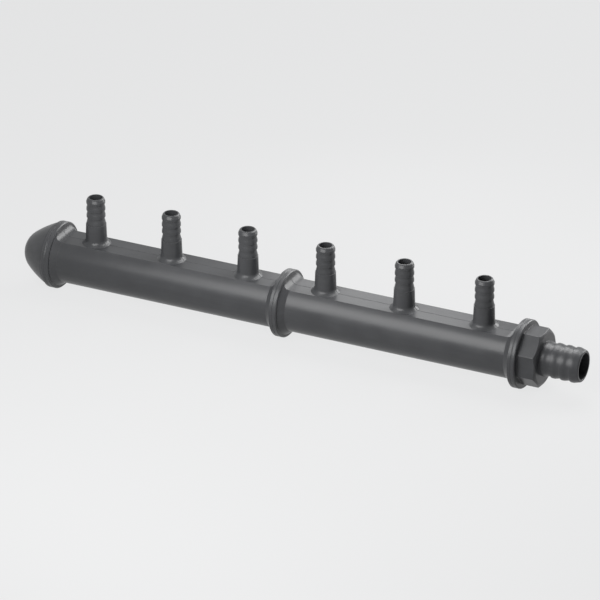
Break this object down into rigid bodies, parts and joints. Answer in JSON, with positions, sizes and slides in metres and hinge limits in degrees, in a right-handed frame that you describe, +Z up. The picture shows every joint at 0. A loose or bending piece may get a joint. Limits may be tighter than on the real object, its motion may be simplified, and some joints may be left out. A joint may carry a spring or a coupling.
{
  "type": "pipe manifold tee",
  "caption": "Straight polymer water manifold: a flanged round header with a row of upright ribbed outlet barbs, a domed closed end and a ribbed inlet barb on a faceted hub.",
  "frame": {"origin": "on the axis of the run, in the face of the hub where the supply tube stops", "axes": "+X along the run and out of the inlet, +Z up along the outlets, Y across"},
  "size_m": [0.3949, 0.0444, 0.0688],
  "materials": {
    "polymer": "satin dark grey moulded polymer"
  },
  "bodies": {
    "root": {"inlet_adapter": "polymer", "near_header": "polymer", "far_header": "polymer", "end_cap": "polymer"}
  },
  "joints": []
}
